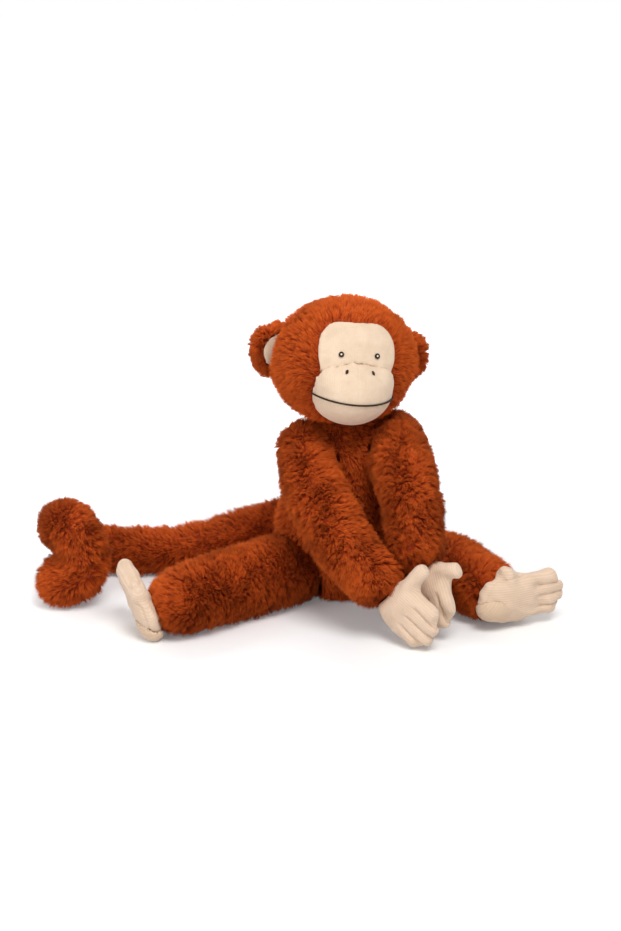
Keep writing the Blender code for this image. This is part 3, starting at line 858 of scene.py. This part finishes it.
def strandMesh(name, corners, tone):
    count = len(corners)
    mesh = bpy.data.meshes.new(name)
    mesh.vertices.add(count * 4)
    mesh.vertices.foreach_set("co", corners.astype(np.float32).ravel())
    walls = np.array([[0, 1, 3], [1, 2, 3], [2, 0, 3]])
    loops = (np.arange(count)[:, None, None] * 4 + walls[None]).astype(np.int32).ravel()
    mesh.loops.add(count * 9)
    mesh.loops.foreach_set("vertex_index", loops)
    mesh.polygons.add(count * 3)
    mesh.polygons.foreach_set("loop_start", np.arange(count * 3, dtype=np.int32) * 3)
    rise = np.tile(np.array([0.0, 0.0, 0.0, 1.0], np.float32), count)
    tone = np.repeat(tone.astype(np.float32), 4)
    for label, values in (("strandRise", rise), ("strandTone", tone)):
        mesh.attributes.new(label, "FLOAT", "POINT").data.foreach_set("value", values)

    # a strand's place in the bake goes by its tone and its rise
    margin, inner, half = 0.02, 0.96, 0.01
    spread = np.tile(np.array([-half, half, 0.0, 0.0], np.float32), count)
    spots = np.stack([margin + inner * tone + spread, margin + inner * rise], axis=1)[loops]
    bake = mesh.uv_layers.new(name="OFBake")
    bake.data.foreach_set("uv", spots.astype(np.float32).ravel())
    mesh.update(calc_edges=True)
    mesh.shade_smooth()
    return mesh


def softNormals(outward, run, spokes, setup):
    # shading between the skin's own normal, the strand's sides and its tip
    across = unit(outward - (outward * run).sum(1, keepdims=True) * run + 1e-6)
    share, side = setup["softNormal"], setup["sideNormal"]
    own = [(1 - side) * across + side * spoke for spoke in spokes]
    own.append(across + setup["tipNormal"] * run)
    soft = [unit(share * outward + (1 - share) * normal) for normal in own]
    return np.stack(soft, axis=1).reshape(-1, 3).tolist()


def growPile(name, skin, setup, comb, near, fixed):
    # fixed neighbours clear strands away, and those that move press them flat
    rng = np.random.default_rng(setup["seed"])
    surface = pointsOf(skin.data), normalsOf(skin.data), trianglesOf(skin.data)
    roots, outward, area = sampleSurface(*surface, setup["strands"], rng)
    room = np.ones(len(roots))
    if fixed:
        room = roomAbove(roots, outward, fixed, setup["room"])
    if "clipped" in setup:
        room = np.minimum(room, roomAbove(roots, outward, setup["clipped"], setup["clipRoom"]))
    keep = room > roomSetup["least"]
    roots, outward, room = roots[keep], outward[keep], room[keep]
    beside = roomAbove(roots, outward, near, setup["room"])
    pressed = beside < roomSetup["least"]
    room = np.minimum(room, np.where(pressed, 1, beside))

    tufts = makeTufts(surface, area, setup, comb, rng)
    pick = nearestTuft(roots, tufts["roots"])
    tuft = {key: values[pick] for key, values in tufts.items()}
    tip = strandTips(roots, outward, tuft, room, pressed, setup, rng)
    corners, run, spokes = strandCorners(roots, outward, tip, setup, rng)
    tone = np.clip(tuft["tone"] + rng.uniform(*strandSpread["tone"], len(roots)), 0, 1)
    mesh = strandMesh(name, corners, tone)
    mesh.normals_split_custom_set_from_vertices(softNormals(outward, run, spokes, setup))
    mesh.materials.append(pileCloth)
    print("pile", name, len(roots), "strands")
    return addObject(name, mesh)


tailLine = [
    (-0.016, 0.043, 0.042), (-0.034, 0.068, 0.043), (-0.069, 0.073, 0.044), (-0.104, 0.065, 0.037),
    (-0.139, 0.055, 0.028), (-0.176, 0.048, 0.023), (-0.210, 0.047, 0.0225), (-0.242, 0.047, 0.023),
    (-0.268, 0.037, 0.033), (-0.284, 0.010, 0.056), (-0.285, -0.018, 0.074), (-0.280, -0.038, 0.081),
    (-0.269, -0.046, 0.075), (-0.263, -0.047, 0.054), (-0.269, -0.046, 0.033), (-0.285, -0.045, 0.025),
]
faceFront = Vector((0.0063, -0.063, 0.235))
earLinings = ("ear_lining_left", "ear_lining_right")
skinSetup = {"voxel": 0.0032, "rounds": 4, "inset": 0.0022, "fill": 0.8}
longPile = {
    "length": 0.0098,
    "lean": 34,  # degrees
    "width": 0.0011,
    "tuftSpacing": 0.0034,
    "stray": 0.2,
    "swirl": 0.4,
    "gather": 0.27,
    "softNormal": 0.3,
    "sideNormal": 0.7,
    "tipNormal": 1.0,
    "room": 0.006,
}
headPile = dict(longPile, strands=66000, room=0.004, clipRoom=0.02, clipped=earLinings)
earPile = dict(longPile, strands=20000, room=0.003, softNormal=0.0, sideNormal=0.95, tipNormal=20.0)
limbPile = dict(longPile, strands=60000, room=0.003)
furPieces = {
    "torso": {
        "body": "torso",
        "comb": combDown,
        "near": ("arm_left", "arm_right", "leg_left", "leg_right", "tail", "head"),
        "pile": dict(longPile, seed=11, strands=66000, width=0.0014),
    },
    "head": {
        "body": "head",
        "comb": combFrom(faceFront),
        "near": ("torso",),
        "fixed": ("face_panel", "muzzle", "ear_left", "ear_right", *earLinings),
        "pile": dict(headPile, seed=12),
    },
    "tail": {
        "body": "tail",
        "comb": combAlong(tailLine),
        "near": ("torso",),
        "pile": dict(longPile, seed=13, strands=66000),
    },
}
for index, side in enumerate(("right", "left")):
    furPieces["ear_" + side] = {
        "body": "head",
        "comb": combFrom(middleOf("ear_" + side)),
        "near": ("torso",),
        "fixed": ("ear_lining_" + side, "head"),
        "pile": dict(earPile, seed=18 + index),
    }
    furPieces["arm_" + side] = {
        "body": "arm_" + side,
        "comb": combLimb(side, "shoulder", "wrist"),
        "near": ("torso", "hand_" + side),
        "pile": dict(limbPile, seed=14 + index),
    }
    furPieces["leg_" + side] = {
        "body": "leg_" + side,
        "comb": combLimb(side, "hip", "ankle"),
        "near": ("torso", "foot_" + side),
        "pile": dict(limbPile, seed=16 + index),
    }
for node, setup in furPieces.items():
    skin = plump(node, node + "_plush", skinSetup)
    skin.data.materials.append(shadedBackingCloth)
    finishPiece(skin, setup["body"], "fur", node, fill=skinSetup["fill"])
    pile = growPile(node + "_pile", skin, setup["pile"], setup["comb"], setup["near"], setup.get("fixed"))
    finishPiece(pile, setup["body"], "fur")
print("fur pieces done")


# floor, backdrop light and lamps
stageSetup = {
    "floorSize": 12.0,
    "floorColour": (0.86, 0.86, 0.86, 1),
    "nearGlow": 0.12,
    "whiteRun": (0.22, 0.52),  # the floor turns to plain white between these distances
    "sky": 0.41,
    "lampsAim": (-0.04, -0.03, 0.12),
}
plainWhite = (1, 1, 1, 1)


def seenRays(tree):
    # one for rays from the camera, straight or by way of a glossy surface
    path = addNode(tree, "ShaderNodeLightPath").outputs
    return path, addMath(tree, "MAXIMUM", path["Is Camera Ray"], path["Is Glossy Ray"])


def floorMaterial(setup):
    made, tree, shader = newMaterial("paleFloor")
    _, seen = seenRays(tree)
    reach = addNode(tree, "ShaderNodeVectorMath", {0: objectPlace(tree)}, operation="LENGTH")
    fade = addRange(tree, reach.outputs["Value"], setup["whiteRun"], (setup["nearGlow"], 1.0), "SMOOTHSTEP")
    look = {
        "Base Color": setup["floorColour"],
        "Roughness": 0.9,
        "Specular IOR Level": 0.0,
        "Emission Color": plainWhite,
        "Emission Strength": addMath(tree, "MULTIPLY", seen, fade),
    }
    setInputs(tree, shader, look)
    return made


def addFloor(setup):
    bm = bmesh.new()
    bmesh.ops.create_grid(bm, x_segments=1, y_segments=1, size=setup["floorSize"] / 2)
    mesh = meshFrom(bm, "floor")
    mesh.materials.append(floorMaterial(setup))
    floor = addObject("floor", mesh)


def addSky(setup):
    world = bpy.data.worlds.new("studio")
    scene.world = world
    world.use_nodes = True
    tree = world.node_tree
    path, seen = seenRays(tree)
    through = addMath(tree, "MAXIMUM", seen, path["Is Transmission Ray"])
    strength = addRange(tree, through, (0.0, 1.0), (setup["sky"], 1.0))
    setInputs(tree, tree.nodes["Background"], {"Color": plainWhite, "Strength": strength})


lamps = {
    "key": {"at": (0.35, -1.15, 1.95), "size": 1.2, "power": 32.0},
    "fill": {"at": (-1.4, -1.3, 0.8), "size": 1.4, "power": 11.0},
    "rim": {"at": (-0.3, 1.3, 1.5), "size": 1.0, "power": 10.0},
}


def addLamp(name, setup, aim):
    data = bpy.data.lights.new(name, "AREA")
    data.shape = "DISK"
    data.size = setup["size"]
    data.energy = setup["power"]
    lamp = addObject(name, data)
    lamp.location = setup["at"]
    turnTo(lamp, Vector(aim) - Vector(setup["at"]))


addFloor(stageSetup)
addSky(stageSetup)
for name, setup in lamps.items():
    addLamp(name, setup, stageSetup["lampsAim"])
scene.view_settings.view_transform = "Standard"
print("stage done")
